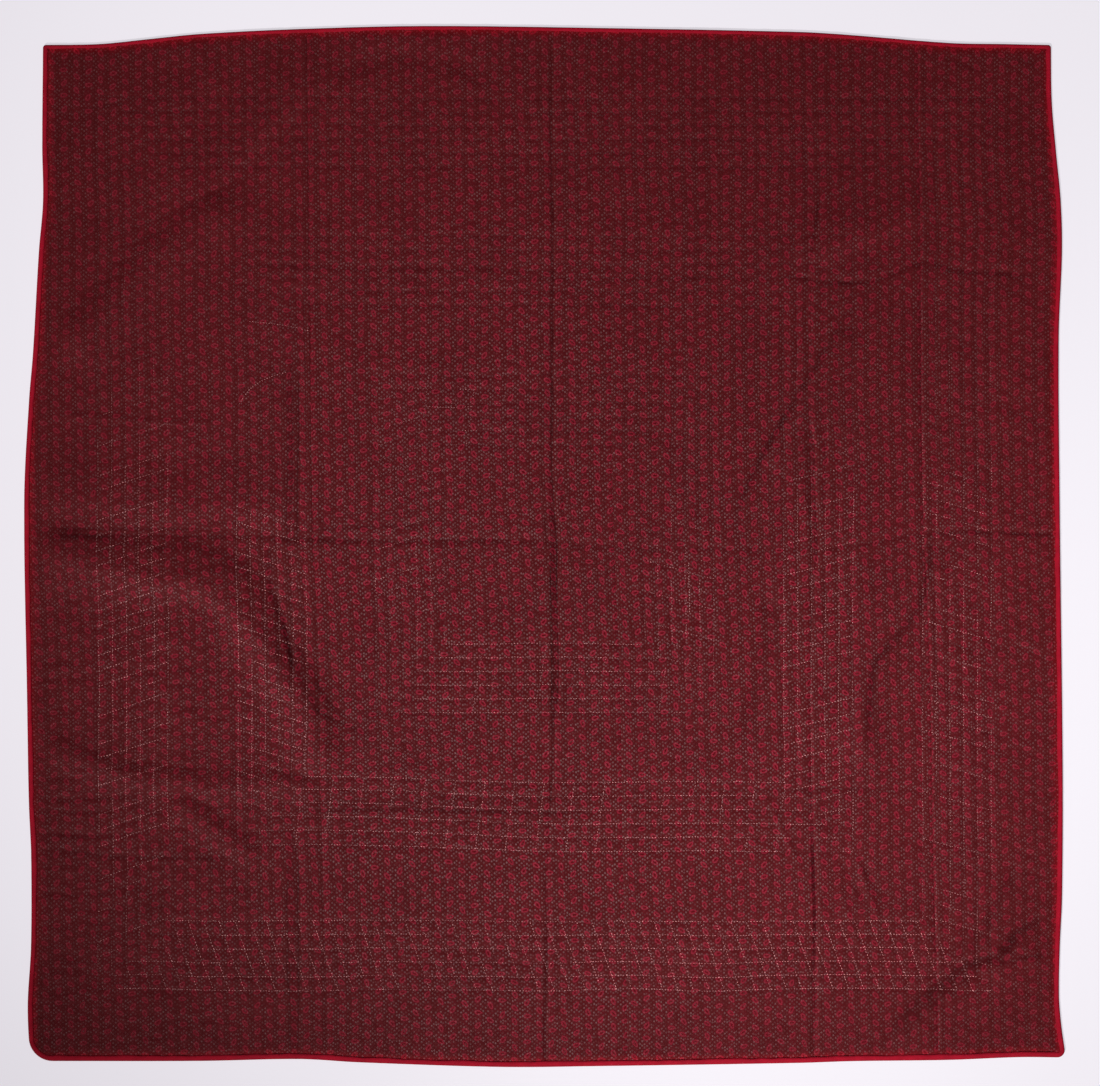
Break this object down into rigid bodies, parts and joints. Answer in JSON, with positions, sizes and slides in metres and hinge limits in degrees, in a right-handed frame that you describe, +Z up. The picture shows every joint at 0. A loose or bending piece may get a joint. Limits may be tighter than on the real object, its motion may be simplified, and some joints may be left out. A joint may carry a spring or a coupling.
{
  "type": "quilt",
  "caption": "Square hand-quilted cotton bed quilt laid out flat, printed back up, with a narrow red binding round its edge.",
  "frame": {"origin": "middle of the footprint, on the surface that the quilt lies on", "axes": "+X to the right side and +Y to the far side as in the picture, +Z up out of the printed face"},
  "size_m": [2.081, 2.0822, 0.0154],
  "materials": {
    "printed_cotton": "matte, thin printed cotton, quilted by hand",
    "binding_cotton": "matte, plain woven cotton"
  },
  "bodies": {
    "root": {"quilt": "printed_cotton", "binding": "binding_cotton"}
  },
  "joints": []
}
